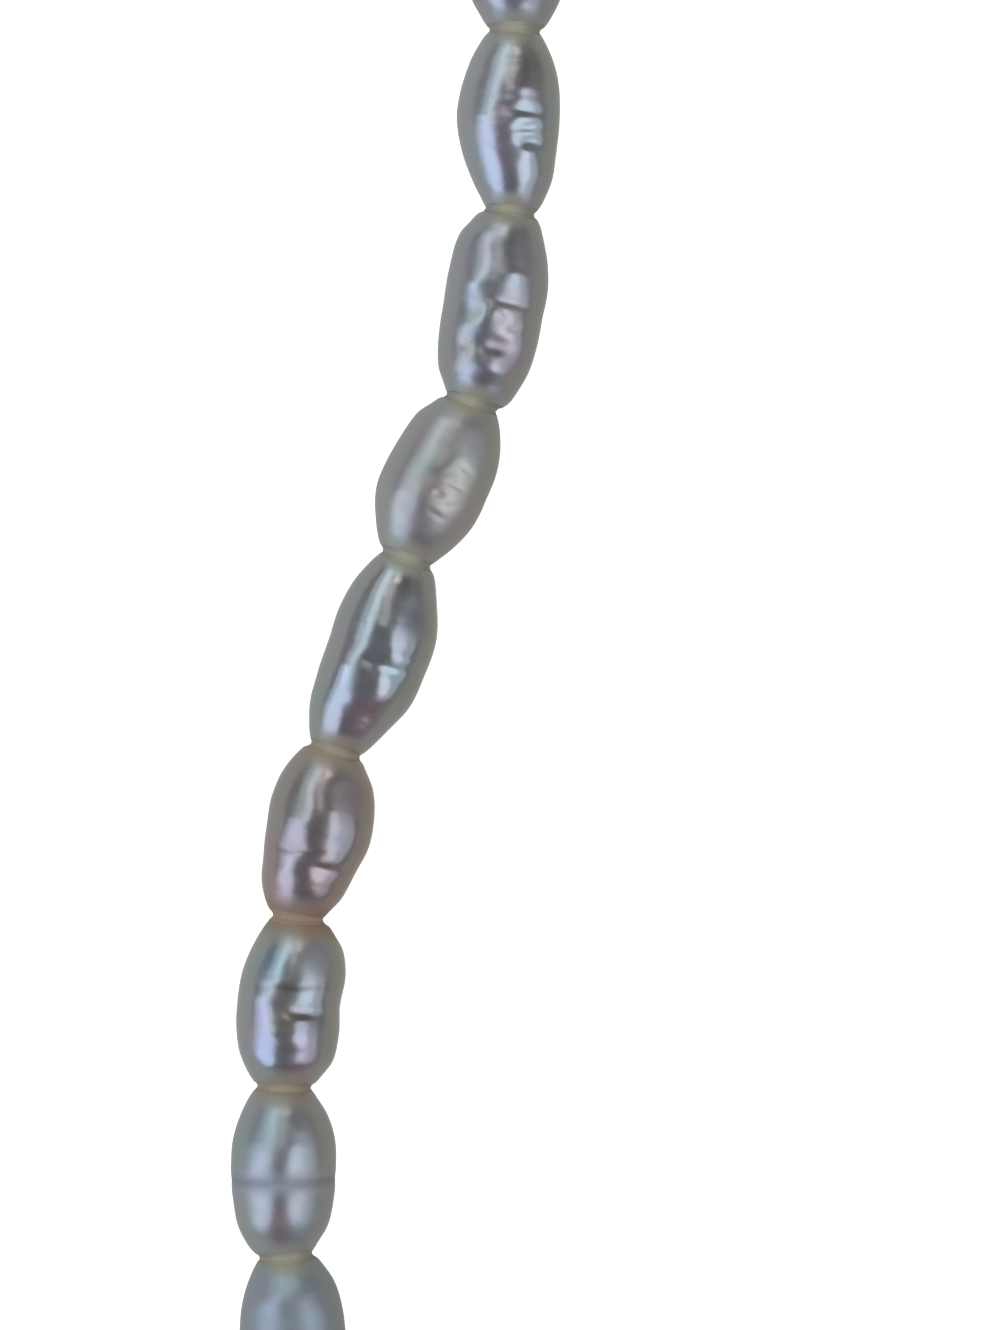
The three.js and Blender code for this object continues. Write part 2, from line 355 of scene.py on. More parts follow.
def shaped_pearl(name, seat, blank, marks, strength, seed):
    """A copy of the blank, formed to a seat and its marks, with where its points lie and what they paint."""
    mesh = blank.copy()
    mesh.name = name
    points = points_of(mesh)
    skin = np.hypot(points[:, 0], points[:, 2]) > (SKIN_RADIUS + HOLE_RADIUS) / 2
    around = np.arctan2(points[:, 0], points[:, 2])
    along, half_width, half_height, shift = skin_at(skin_line(seat), points[:, 1]).T
    length = np.ptp(seat["along"])
    from_start = along / length + 0.5
    fade = eased(np.clip((length / 2 - np.abs(along)) / (SWELL_INSET * MM), 0, 1))
    rise = marked(marks, "rise", along, around, half_width, length) * MM
    painted = {field: marked(marks, field, along, around, half_width, length) for field in PAINTED}
    facing = SIDE_SWELL + (1 - SIDE_SWELL) * np.cos(around) ** 2
    rise += grown_swell(along, around, seed, strength) * fade * facing
    x = shift + (half_width + rise) * np.sin(around)
    z = (half_height + rise) * np.cos(around)
    hole = ~skin
    hole_share = (points[:, 1] - 0.5) / 0.5
    along = np.where(hole, hole_share * (length / 2 - BORE_INSET * MM), along)
    x = np.where(hole, BORE_RADIUS * MM * np.sin(around), x)
    z = np.where(hole, BORE_RADIUS * MM * np.cos(around), z)
    slant = np.where(along < 0, *seat["slants"])
    near_end = np.clip(1 - (length / 2 - np.abs(along)) / (SLANT_REACH * MM), 0, 1)
    along = along + slant * x * eased(near_end)
    up = np.array([0, 0, 1.0])
    placed = seat["middle"] + np.outer(along, seat["way"]) + np.outer(x, seat["side"]) + np.outer(z, up)
    placed[:, 2] = np.maximum(placed[:, 2], 0)
    mesh.vertices.foreach_set("co", placed.ravel())
    mesh.update()
    return mesh, from_start, around, painted


print("points in a fine pearl:", len(points_of(FINE_BLANK)), "and in a far one:", len(points_of(FAR_BLANK)))

# %% [markdown]
# ## The pearls that face the light
# Nine pearls in a row are charted, each with its own marks. A row says where a patch lies, along as a share
# of the pearl's length and around in degrees, how long and wide it is in millimetres, and what it raises or
# paints. The other pearls get grooves, dimples and now and then a ring by a fixed draw, so that no two of
# them are alike.

# %% The chart of marks
RING = 40.0  # wide enough to run all the way round

# Rows that darken paint shade in grooves, creases and hollows, and dark reflections on other patches. The one
# row that lightens paints light. The tints lie on the mirrored windows and dark bands, as painted reflection
# colour besides the overtone.
MARKS = {
    "pearl_16": [
        {"along": 0.62, "around": 20, "long": 0.5, "wide": 1.0, "rise": -0.05},
        {"along": 0.42, "around": -20, "long": 0.3, "wide": 0.9, "rise": -0.08},
        {"along": 0.80, "around": -20, "long": 0.3, "wide": 0.8, "rise": -0.08},
    ],
    "pearl_17": [
        {"along": 0.600, "around": 8, "long": 2.40, "wide": 0.4, "mauve": 0.8},
        {"along": 0.170, "around": -26, "long": 0.80, "wide": 0.8, "cream": 0.7, "painted_shade": 0.20},
        {"along": 0.330, "around": -20, "long": 0.30, "wide": 0.8, "rise": 0.040},
        {"along": 0.465, "around": -20, "long": 0.26, "wide": 0.9, "turn": 4, "rise": -0.080},
        {"along": 0.565, "around": -22, "long": 0.26, "wide": 0.7, "turn": -7, "rise": -0.120},
        {"along": 0.640, "around": -26, "long": 0.30, "wide": 0.6, "rise": -0.130},
        {"along": 0.725, "around": -26, "long": 0.32, "wide": 0.6, "rise": 0.070},
        {"along": 0.470, "around": 30, "long": 0.50, "wide": 0.7, "rise": 0.030},
    ],
    "pearl_18": [
        {"along": 0.780, "around": 24, "long": 1.20, "wide": 0.8, "straw": 0.9, "painted_shade": 0.10},
        {"along": 0.560, "around": -20, "long": 1.30, "wide": 0.9, "cream": 0.6},
        {"along": 0.740, "around": -18, "long": 0.45, "wide": 0.8, "mauve": 0.7, "painted_shade": 0.30},
        {"along": 0.315, "around": -22, "long": 0.30, "wide": 0.8, "rise": 0.045},
        {"along": 0.470, "around": -22, "long": 0.26, "wide": 0.9, "rise": -0.085},
        {"along": 0.560, "around": -12, "long": 0.22, "wide": 0.4, "turn": 30, "rise": -0.045},
        {"along": 0.610, "around": -28, "long": 0.25, "wide": 0.4, "turn": -20, "rise": -0.055},
        {"along": 0.720, "around": -16, "long": 0.48, "wide": 0.9, "rise": -0.200},
        {"along": 0.855, "around": -16, "long": 0.36, "wide": 0.9, "rise": 0.090},
        {"along": 0.400, "around": 26, "long": 0.35, "wide": 0.5, "rise": 0.045},
        {"along": 0.540, "around": 16, "long": 0.35, "wide": 0.4, "rise": -0.045},
        {"along": 0.740, "around": 22, "long": 0.35, "wide": 0.5, "rise": -0.050},
        {"along": 0.580, "around": 6, "long": 0.55, "wide": 0.4, "rise": 0.060},
    ],
    "pearl_19": [
        {"along": 0.800, "around": 26, "long": 1.00, "wide": 0.8, "straw": 0.7},
        {"along": 0.520, "around": -20, "long": 1.80, "wide": 1.1, "cream": 0.8},
        {"along": 0.200, "around": -26, "long": 0.70, "wide": 0.9, "dull": 0.9, "painted_shade": 0.18},
        {"along": 0.660, "around": 6, "long": 0.70, "wide": 0.5, "rise": 0.050},
        {"along": 0.320, "around": -22, "long": 0.35, "wide": 0.8, "rise": 0.030},
        {"along": 0.385, "around": -28, "long": 0.16, "wide": 0.5, "turn": 18, "rise": -0.032},
        {"along": 0.440, "around": -12, "long": 0.15, "wide": 0.5, "turn": -12, "rise": -0.034},
        {"along": 0.500, "around": -24, "long": 0.16, "wide": 0.6, "turn": 10, "rise": -0.036},
        {"along": 0.590, "around": -10, "long": 0.20, "wide": 0.3, "rise": -0.050},
        {"along": 0.640, "around": -24, "long": 0.16, "wide": 0.5, "turn": -15, "rise": -0.032},
        {"along": 0.720, "around": -16, "long": 0.18, "wide": 0.5, "turn": 12, "rise": -0.028},
        {"along": 0.720, "around": 36, "long": 1.40, "wide": 0.7, "rise": 0.080},
    ],
    "pearl_20": [
        {"along": 0.500, "around": 22, "long": 3.20, "wide": 0.6, "cyan": 0.4},
        {"along": 0.800, "around": 22, "long": 1.20, "wide": 0.7, "cyan": 0.7, "straw": 0.8},
        {"along": 0.520, "around": -26, "long": 1.20, "wide": 0.8, "cyan": 0.6},
        {"along": 0.800, "around": -6, "long": 1.20, "wide": 1.1, "mauve": 1.3},
        {"along": 0.250, "around": -30, "long": 0.85, "wide": 0.8, "dull": 0.8, "painted_shade": 0.50},
        {"along": 0.465, "around": -28, "long": 0.42, "wide": 0.8, "rise": 0.100},
        {"along": 0.540, "around": -20, "long": 0.28, "wide": 0.8, "rise": -0.060},
        {"along": 0.660, "around": -24, "long": 0.65, "wide": 0.9, "rise": 0.110},
        {"along": 0.570, "around": 32, "long": 0.70, "wide": 0.9, "rise": 0.080},
        {"along": 0.520, "around": 4, "long": 0.30, "wide": 0.3, "rise": -0.030},
        {"along": 0.460, "around": -50, "long": 0.50, "wide": 0.6, "rise": 0.050},
    ],
    "pearl_21": [
        {"along": 0.330, "around": 20, "long": 1.20, "wide": 0.8, "cyan": 0.6},
        {"along": 0.450, "around": -28, "long": 0.90, "wide": 0.7, "blue": 1.0},
        {"along": 0.610, "around": 18, "long": 0.24, "wide": 1.2, "rise": -0.060, "painted_shade": 0.12},
        {"along": 0.700, "around": -22, "long": 0.30, "wide": 0.9, "rise": -0.100},
        {"along": 0.200, "around": -32, "long": 0.80, "wide": 0.8, "dull": 0.9, "painted_shade": 0.36},
        {"along": 0.440, "around": -16, "long": 0.90, "wide": 0.4, "rise": 0.040},
        {"along": 0.430, "around": -30, "long": 0.50, "wide": 0.9, "rise": 0.040},
        {"along": 0.450, "around": -48, "long": 0.90, "wide": 0.6, "rise": 0.060},
        {"along": 0.400, "around": 2, "long": 1.30, "wide": 0.8, "rise": 0.090},
        {"along": 0.440, "around": 30, "long": 0.60, "wide": 0.8, "rise": 0.040},
    ],
    "pearl_22": [
        {"along": 0.260, "around": 24, "long": 0.90, "wide": 0.8, "cyan": 0.4, "blue": 1.2},
        {"along": 0.560, "around": 32, "long": 0.60, "wide": 0.6, "lilac": 0.8},
        {"along": 0.800, "around": 26, "long": 0.90, "wide": 0.8, "blue": 1.5},
        {"along": 0.600, "around": -26, "long": 0.50, "wide": 0.8, "painted_shade": 0.35},
        {"along": 0.470, "around": -24, "long": 0.50, "wide": 0.9, "cyan": 0.9},
        {"along": 0.740, "around": -22, "long": 0.80, "wide": 0.7, "lilac": 0.7, "blue": 0.4},
        {"along": 0.560, "around": 2, "long": 2.00, "wide": 0.4, "cream": 0.9},
        {"along": 0.385, "around": -12, "long": 0.16, "wide": 1.1, "turn": -4, "rise": -0.025, "painted_shade": 0.45},
        {"along": 0.470, "around": 30, "long": 0.50, "wide": 0.9, "rise": 0.060},
        {"along": 0.530, "around": -20, "long": 0.35, "wide": 0.9, "rise": -0.090},
        {"along": 0.600, "around": -20, "long": 0.26, "wide": 0.8, "rise": 0.040},
        {"along": 0.190, "around": -28, "long": 0.75, "wide": 0.8, "dull": 0.8, "painted_shade": 0.25},
        {"along": 0.720, "around": 0, "long": 0.50, "wide": 1.6, "rise": 0.100},
    ],
    "pearl_23": [
        {"along": 0.780, "around": 26, "long": 1.20, "wide": 0.9, "straw": 0.8},
        {"along": 0.800, "around": 2, "long": 0.90, "wide": 0.5, "mauve": 1.1},
        {"along": 0.550, "around": 0, "long": 0.27, "wide": RING, "rise": -0.030, "painted_shade": 0.28},
        {"along": 0.550, "around": 0, "long": 0.50, "wide": RING, "dull": 0.6},
        {"along": 0.560, "around": 0, "long": 0.22, "wide": 0.5, "painted_shade": -0.25},
        {"along": 0.450, "around": 0, "long": 2.20, "wide": 0.8, "rise": 0.070},
        {"along": 0.730, "around": 0, "long": 0.60, "wide": 1.6, "rise": 0.090},
    ],
    "pearl_24": [
        {"along": 0.300, "around": 10, "long": 0.80, "wide": 0.8, "rise": 0.030},
        {"along": 0.560, "around": -16, "long": 0.40, "wide": 0.9, "rise": -0.050},
    ],
}

print("charted pearls:", len(MARKS), "with", sum(len(rows) for rows in MARKS.values()), "marks")

# %% How each pearl swells and shines
# SWELL_OF is how strongly a pearl swells, and DULLNESS_OF how dull its skin is: below 0 is glossier than
# most.
SWELL_OF = {
    "pearl_16": 0.5,
    "pearl_17": 0.3,
    "pearl_18": 0.4,
    "pearl_19": 0.25,
    "pearl_20": 0.2,
    "pearl_21": 0.4,
    "pearl_22": 0.2,
    "pearl_23": 0.25,
    "pearl_24": 0.3,
}
DULLNESS_OF = {
    "pearl_16": 0.3,
    "pearl_17": 0.0,
    "pearl_18": 0.2,
    "pearl_19": 0.8,
    "pearl_20": -0.5,
    "pearl_21": -0.2,
    "pearl_22": -0.2,
    "pearl_23": 0.7,
    "pearl_24": 1.5,
}

FAR_SWELL = 0.5  # the other pearls' swell, and how much it grows from one kind of them to the next
FAR_SWELL_STEP = 0.2
FAR_DULLNESS_STEP = 0.15
FAR_KINDS = 4
print("glossiest charted pearl:", min(DULLNESS_OF, key=DULLNESS_OF.get))

# %% The marks of the other pearls
RING_CHANCE = 0.35
RING_ALONG = (0.3, 0.7)
# A ring is a shallow groove with painted shade in it.
RING_MARK = {"around": 0, "long": 0.17, "wide": RING, "rise": -0.03, "painted_shade": 0.3}
GROOVES = (4, 9)  # from the first number to one below the second
GROOVE_RANGES = {
    "along": (0.2, 0.8),
    "around": (-80, 80),
    "long": (0.1, 0.3),
    "wide": (0.4, 1.2),
    "turn": (-30, 30),
    "rise": (-0.09, 0.04),
}


def drawn_marks(seed):
    """Grooves and dimples of the same kinds as charted, by a fixed draw."""
    draw = np.random.RandomState(seed)
    marks = []
    if draw.uniform() < RING_CHANCE:
        marks.append({"along": draw.uniform(*RING_ALONG), **RING_MARK})
    for _ in range(draw.randint(*GROOVES)):
        marks.append({field: draw.uniform(*span) for field, span in GROOVE_RANGES.items()})
    return marks


print("marks on the first pearl:", len(drawn_marks(0)))

# %% [markdown]
# ## Nacre
# The skin is nacre: thin plates of aragonite, laid down in water by the mussel and left as grown. Its many
# layers send back far more light than glass does, softly, and tint it with faint pink and blue. So the
# shader is partly metallic over a pale grey, with a broad gloss, and a thin clear coat gives the small hard
# glints on top.

# %% Colours and materials
def linear(hex_colour):
    """An sRGB hex colour as the linear red, green, blue and alpha that Blender works in."""
    channels = [int(hex_colour[i : i + 2], 16) / 255 for i in (1, 3, 5)]
    return [c / 12.92 if c <= 0.04045 else ((c + 0.055) / 1.055) ** 2.4 for c in channels] + [1.0]


def new_material(name):
    """A new material, its node tree and its shader."""
    material = bpy.data.materials.new(name)
    material.use_nodes = True
    return material, material.node_tree, material.node_tree.nodes["Principled BSDF"]


print("a mid grey, linear:", [round(channel, 3) for channel in linear("#808080")])


# %% Nodes
def add_node(tree, kind, settings=None, inputs=None):
    """Adds a node with its settings. An input is linked where its value is a socket, and set where not."""
    node = tree.nodes.new(kind)
    for key, value in (settings or {}).items():
        setattr(node, key, value)
    for key, value in (inputs or {}).items():
        if isinstance(value, bpy.types.NodeSocket):
            tree.links.new(value, node.inputs[key])
        else:
            node.inputs[key].default_value = value
    return node


# %% The nacre material
PER_MM = 1000.0  # the scale that makes a texture's unit one millimetre, on Object coordinates in metres
CLOUD_SIZE = 1.6  # of one cloud of overtone
PATCH_SIZE = 0.9  # of one glossier or duller patch
GRAIN_SIZE = 0.35  # of the skin's grain, drawn coarser than the real one so that it shows
OVERTONE_SHARE = 0.6
METALLIC = 0.72
WORN_METALLIC = 0.15
DULL_ROUGHNESS = 0.13  # what a fully dull skin adds to the roughness
WORN_ROUGHNESS = 0.6
BUMP_HEIGHT = 0.02


def nacre_material():
    """Freshwater nacre, grown and unpolished: soft grey lustre with pink and green-blue overtones."""
    material, tree, shader = new_material("freshwater_nacre")
    place = add_node(tree, "ShaderNodeTexCoord").outputs["Object"]
    body = add_node(tree, "ShaderNodeAttribute", {"attribute_name": "body_colour"}).outputs["Color"]
    worn = add_node(tree, "ShaderNodeAttribute", {"attribute_name": "worn"}).outputs["Fac"]
    dullness = add_node(tree, "ShaderNodeAttribute", {"attribute_name": "dullness"}).outputs["Fac"]
    clouds = add_node(
        tree,
        "ShaderNodeTexNoise",
        inputs={"Vector": place, "Scale": PER_MM / CLOUD_SIZE, "Detail": 3.0, "Roughness": 0.55},
    )
    overtone = add_node(tree, "ShaderNodeValToRGB", inputs={"Fac": clouds.outputs["Fac"]})
    ramp = overtone.color_ramp
    ramp.elements[0].position, ramp.elements[0].color = 0.30, linear("#dccbd2")
    ramp.elements[1].position, ramp.elements[1].color = 0.70, linear("#c2d8da")
    ramp.elements.new(0.5).color = linear("#cfd3d4")
    tinted = add_node(
        tree,
        "ShaderNodeMix",
        {"data_type": "RGBA", "blend_type": "MULTIPLY"},
        {"Factor": OVERTONE_SHARE, "A": body, "B": overtone.outputs["Color"]},
    )
    tree.links.new(tinted.outputs["Result"], shader.inputs["Base Color"])
    metallic = add_node(
        tree,
        "ShaderNodeMapRange",
        inputs={"Value": worn, "To Min": METALLIC, "To Max": WORN_METALLIC},
    )
    tree.links.new(metallic.outputs["Result"], shader.inputs["Metallic"])
    patches = add_node(
        tree,
        "ShaderNodeTexNoise",
        inputs={"Vector": place, "Scale": PER_MM / PATCH_SIZE, "Detail": 2.0},
    )
    grown = add_node(
        tree,
        "ShaderNodeMapRange",
        inputs={
            "Value": patches.outputs["Fac"],
            "From Min": 0.3,
            "From Max": 0.7,
            "To Min": 0.22,
            "To Max": 0.31,
        },
    )
    duller = add_node(tree, "ShaderNodeMath", {"operation": "MULTIPLY"}, {0: dullness, 1: DULL_ROUGHNESS})
    rough = add_node(tree, "ShaderNodeMath", inputs={0: grown.outputs["Result"], 1: duller.outputs[0]})
    rubbed = add_node(
        tree,
        "ShaderNodeMix",
        {"data_type": "FLOAT"},
        {"Factor": worn, "A": rough.outputs[0], "B": WORN_ROUGHNESS},
    )
    tree.links.new(rubbed.outputs["Result"], shader.inputs["Roughness"])
    grain = add_node(
        tree,
        "ShaderNodeTexNoise",
        inputs={"Vector": place, "Scale": PER_MM / GRAIN_SIZE, "Detail": 3.0},
    )
    bump = add_node(
        tree,
        "ShaderNodeBump",
        inputs={"Height": grain.outputs["Fac"], "Strength": 0.25, "Distance": BUMP_HEIGHT * MM},
    )
    tree.links.new(bump.outputs["Normal"], shader.inputs["Normal"])
    shader.inputs["IOR"].default_value = 1.53
    shader.inputs["Coat Weight"].default_value = 0.25
    shader.inputs["Coat Roughness"].default_value = 0.12
    return material


NACRE = nacre_material()
print("nodes in", NACRE.name + ":", len(NACRE.node_tree.nodes))

# %% [markdown]
# ## Body colours
# Each pearl has its own body colour. Next to the knots the drill has thinned the nacre and the silk has
# rubbed it, so the skin there is dull and cream. The cream lies on top more than at the sides, a difference
# of light painted in as well as wear. A texture image could hold all this, but the mesh is fine enough to
# carry it by itself, as three values for every point: the colour, how worn the point is, and how dull the
# whole pearl is. What the marks paint, with their painted shade and reflection tints, goes into the first
# two.

# %% Painting the pearls
BODIES = {
    "pearl_16": "#c4c0c1",
    "pearl_17": "#c4c3c3",
    "pearl_18": "#c2bfc0",
    "pearl_19": "#c8c2bc",
    "pearl_20": "#c1bebc",
    "pearl_21": "#c1b0aa",
    "pearl_22": "#c2bdba",
    "pearl_23": "#bfbfbe",
    "pearl_24": "#b6bbbd",
}
FAR_BODIES = ["#bfc1c4", "#c0bdc0", "#bbc0c0", "#beb0ac", "#bebfc1"]
WORN_COLOUR = "#bcb497"
STAINED_COLOUR = "#b3957b"
# How stained a knot and the pearls' ends beside it are, by the knot's place in the strand.
STAINED = {20: 0.4, 21: 1.0, 22: 0.45, 23: 0.15}
WORN_REACH = 0.66  # from the pearl's end
STAIN_REACH = 0.3  # how much farther a stain spreads
TOP_FADE = 3.2  # how fast the wear and its cream fade from a pearl's top towards its sides, which paints a difference of light between them


def paint_pearl(mesh, pearl, i, along, around, painted, length):
    """Gives each point of the strand's pearl number i its colour, with its marks' painted shade and tints,
    its wear and its dullness.
    """
    from_end = np.minimum(along, 1 - along) * length / MM
    stained = np.where(along < 0.5, STAINED.get(i, 0.0), STAINED.get(i + 1, 0.0))
    # The cream and wear fade from the top towards the sides. This is painted light as well as wear.
    on_top = TOP_FADE * np.abs(np.cos(around)) - (TOP_FADE - 1)
    on_top = np.clip(on_top * (1 - stained) + stained, 0, 1)
    worn = eased(np.clip(1 - from_end / (WORN_REACH + STAIN_REACH * stained), 0, 1)) * on_top
    body = np.array(linear(BODIES.get(pearl, FAR_BODIES[i % len(FAR_BODIES)])))
    tones = (np.array(linear(colour)) for colour in (WORN_COLOUR, STAINED_COLOUR))
    worn_colour = sum(tone * share[:, None] for tone, share in zip(tones, (1 - stained, stained)))
    colours = (1 - worn)[:, None] * body + worn[:, None] * worn_colour
    # These tints are partly the nacre's overtone and partly painted reflection colour.
    overtone_and_reflection_tints = sum(painted[name][:, None] * np.array(tone) for name, tone in OVERTONE_AND_REFLECTION_TINTS.items())
    # Darkening here is painted shade in grooves, creases and hollows and painted dark reflection elsewhere.
    # Below 0 it is painted light.
    colours[:, :3] *= (1 - painted["painted_shade"])[:, None] * (1 + overtone_and_reflection_tints)
    colours = np.clip(colours, 0, 1)
    tinted = mesh.color_attributes.new("body_colour", "FLOAT_COLOR", "POINT")
    tinted.data.foreach_set("color", colours.ravel())
    worn = np.clip(worn + painted["dull"], 0, 1)
    mesh.attributes.new("worn", "FLOAT", "POINT").data.foreach_set("value", worn)
    dullness = np.full(len(worn), DULLNESS_OF.get(pearl, FAR_DULLNESS_STEP * (i % FAR_KINDS)))
    mesh.attributes.new("dullness", "FLOAT", "POINT").data.foreach_set("value", dullness)


print("body colours:", len(BODIES), "charted and", len(FAR_BODIES), "for the others in turn")

# %% Making the pearls
SWELL_SEED = 100
pearl_triangles = 0
for i, pearl in enumerate(PEARLS):
    charted = pearl in MARKS
    marks = MARKS[pearl] if charted else drawn_marks(i)
    blank = FINE_BLANK if charted else FAR_BLANK
    strength = SWELL_OF.get(pearl, FAR_SWELL + FAR_SWELL_STEP * (i % FAR_KINDS))
    seat = seats[pearl]
    name = "nacre_" + pearl
    mesh, along, around, painted = shaped_pearl(name, seat, blank, marks, strength, SWELL_SEED + i)
    paint_pearl(mesh, pearl, i, along, around, painted, np.ptp(seat["along"]))
    mesh.materials.append(NACRE)
    skin = bpy.data.objects.new(name, mesh)
    bpy.context.scene.collection.objects.link(skin)
    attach(skin, "root")
    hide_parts(pearl)
    pearl_triangles += 2 * len(mesh.polygons)
print("pearls made:", len(PEARLS), "triangles:", pearl_triangles)

# %% [markdown]
# ## Silk
# The string is cream bead silk. Between every two pearls it is tied in an overhand knot, pulled tight
# against them, so that the pearls don't rub. A real knot is the cord's own loop, wrapped twice round
# itself, so here a cord runs along such a path, over a spool that fills the middle and the dishes of the
# pearls. A curve with a round bevel makes the cord. Silk is soft, so the pearls press the wraps flat.

# %% The knot
KNOT_RING = 0.98  # from the strand's line to the middle of the wraps
KNOT_WEAVE = 0.03  # how far the wraps pass over and under one another
KNOT_SPREAD = 0.15  # how far they lie to each side of the knot's middle
KNOT_CORD = 0.19  # the radius of the cord in the knot
KNOT_PRESSED = 0.5  # what the pearls leave of the wraps' thickness along the strand

KNOT_RIM = 1.28  # the radius of a pearl's rim that these sizes are for
KNOT_HALF = 0.2  # how far to each side of its middle a knot changes from one pearl's rim to the next one's

# The middle of the knot, from its waist out to a thin lip that laps over a pearl's rim, and back under it
# to the dish.
SPOOL = [
    {"half": 0.000, "radius": 1.170},
    {"half": 0.080, "radius": 1.192},
    {"half": 0.130, "radius": 1.233},
    {"half": 0.170, "radius": 1.275},
    {"half": 0.210, "radius": 1.318},
    {"half": 0.245, "radius": 1.348},
    {"half": 0.285, "radius": 1.372},
    {"half": 0.245, "radius": 1.330},
    {"half": 0.170, "radius": 1.262},
    {"half": 0.090, "radius": 1.120},
    {"half": 0.330, "radius": 0.800},
    {"half": 0.400, "radius": 0.620},
    {"half": 0.410, "radius": 0.100},
]
CORD_STEPS = 60
CORD_ROUNDNESS = 3
SPOOL_STEPS = 48
UPRIGHT = Matrix.Rotation(math.pi / 2, 4, "X")  # turns what stands along Z to lie along Y


def cord_mesh(name, path, radius, closed):
    """A mesh of a round cord along points in millimetres."""
    curve = bpy.data.curves.new(name, "CURVE")
    curve.dimensions = "3D"
    curve.bevel_depth = radius * MM
    curve.bevel_resolution = CORD_ROUNDNESS
    curve.use_fill_caps = not closed
    spline = curve.splines.new("POLY")
    spline.points.add(len(path) - 1)
    for point, place in zip(spline.points, path):
        point.co = (*(coordinate * MM for coordinate in place), 1)
    spline.use_cyclic_u = closed
    holder = bpy.data.objects.new(name, curve)
    bpy.context.scene.collection.objects.link(holder)
    bpy.context.view_layer.update()
    mesh = bpy.data.meshes.new_from_object(holder.evaluated_get(bpy.context.evaluated_depsgraph_get()))
    bpy.data.objects.remove(holder)
    return mesh


def wrap_path(turn):
    """A point of the wraps' path: twice round the strand's line, and three times to and fro along it."""
    reach = KNOT_RING + KNOT_WEAVE * math.cos(3 * turn)
    return reach * math.cos(2 * turn), KNOT_SPREAD * math.sin(3 * turn), reach * math.sin(2 * turn)


def spool_mesh():
    """The middle of a knot, spun from its profile round the strand's line."""
    rows = [(row["radius"], row["half"]) for row in SPOOL]
    line = [(radius, -half) for radius, half in rows[:0:-1]] + rows
    spool = bmesh.new()
    profile = [spool.verts.new((radius * MM, along * MM, 0)) for radius, along in line]
    edges = [spool.edges.new(pair) for pair in zip(profile, profile[1:] + profile[:1])]
    spin_whole(spool, profile + edges, SPOOL_STEPS)
    mesh = bpy.data.meshes.new("spool")
    spool.to_mesh(mesh)
    spool.free()
    return mesh


def once_round(steps):
    """Angles that go once round in even steps."""
    return np.linspace(0, 2 * math.pi, steps, endpoint=False)


WRAPS = cord_mesh("wraps", [wrap_path(turn) for turn in once_round(CORD_STEPS)], KNOT_CORD, closed=True)
WRAPS.transform(Matrix.Diagonal((1, KNOT_PRESSED, 1, 1)))
SPOOL_MESH = spool_mesh()
print("faces in a knot:", len(WRAPS.polygons) + len(SPOOL_MESH.polygons))

# %% The knots' places
MOUTH_TO_KNOT = 0.60  # from the mouth of a pearl's hole to the middle of the knot beside it, in millimetres


def ends_of(seat):
    """The middles of the knots before and after a pearl."""
    reach = (seat["along"][-2] + MOUTH_TO_KNOT * MM) * seat["way"]
    return seat["middle"] - reach, seat["middle"] + reach


knots = [ends_of(seats[PEARLS[0]])[0]] + [ends_of(seats[pearl])[1] for pearl in PEARLS]
gaps = [np.linalg.norm(knots[i + 1] - ends_of(seats[PEARLS[i + 1]])[0]) for i in range(len(PEARLS) - 1)]
print("knots:", len(knots))
print("most that two neighbours disagree on a knot's place, in mm:", round(max(gaps) / MM, 4))
ways = [unit(knots[i + 1] - knots[i]) for i in range(len(PEARLS))]
knot_ways = [unit(ways[max(i - 1, 0)] + ways[min(i, len(ways) - 1)]) for i in range(len(knots))]


# %% Laying parts along the strand
def laid_at(place, way):
    """The matrix that puts a part's +Y along a way."""
    side = np.array([way[1], -way[0], 0.0])
    return Matrix.Translation(Vector(place)) @ Matrix([side, way, (0, 0, 1)]).transposed().to_4x4()


def add_mesh(whole, mesh, matrix):
    """Adds a placed copy of a mesh to a bmesh."""
    copy = mesh.copy()
    copy.transform(matrix)
    whole.from_mesh(copy)
    bpy.data.meshes.remove(copy)


def fitted(mesh, roll, before, after):
    """A copy of a knot's piece, rolled about the strand's line and shaped to the rims before and after it."""
    copy = mesh.copy()
    copy.transform(Matrix.Rotation(roll, 4, "Y"))
    points = points_of(copy)
    share = np.clip(points[:, 1] / (2 * KNOT_HALF * MM) + 0.5, 0, 1)
    half_width, half_height, shift = ((1 - share) * b + share * a for b, a in zip(before, after))
    points[:, 0] *= half_width / (KNOT_RIM * MM)
    points[:, 0] += shift
    points[:, 2] *= half_height / (KNOT_RIM * MM)
    copy.vertices.foreach_set("co", points.ravel())
    return copy


rims = [skin_line(seats[pearl])[[RIM_ROW, -1 - RIM_ROW], 1:] for pearl in PEARLS]
print("widest rim in mm:", round(max(rim[:, 0].max() for rim in rims) / MM, 3))

# %% The silk piece
THREAD_RADIUS = 0.22
THREAD_SIDES = 12
END_LOOP_RADIUS = 0.9
END_LOOP_STEPS = 32
EYE_TO_KNOT = 2.2
ROLL_STEP = 1.1  # how far each knot is rolled from the one before, in radians, so that no two look alike

